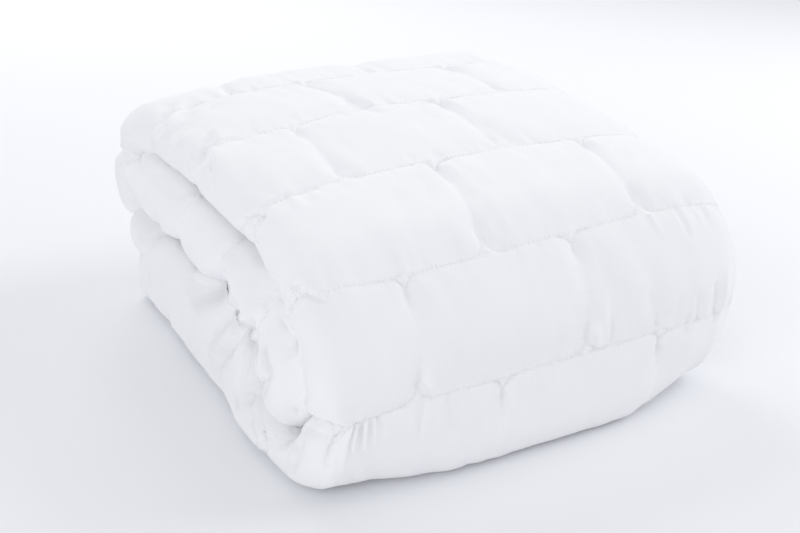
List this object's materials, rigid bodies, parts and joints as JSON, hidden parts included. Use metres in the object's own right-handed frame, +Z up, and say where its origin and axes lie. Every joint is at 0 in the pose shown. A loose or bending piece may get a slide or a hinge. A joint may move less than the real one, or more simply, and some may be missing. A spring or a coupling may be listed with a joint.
{
  "type": "folded mattress protector",
  "caption": "Quilted mattress protector folded into quarters across its width and rolled flat into a soft rectangular bundle with open spiral ends.",
  "frame": {"origin": "middle of the bundle's footprint, on the surface that it rests on", "axes": "+X along the rolled bundle from the end with the closed folds to the end with the hems, +Y from the rounded front towards the back where the strip's outer end lies, +Z up"},
  "size_m": [0.4042, 0.4878, 0.215],
  "materials": {
    "pad_cloth": "matte brushed microfibre, quilted"
  },
  "bodies": {
    "root": {"quilted_pad": "pad_cloth"}
  },
  "joints": []
}
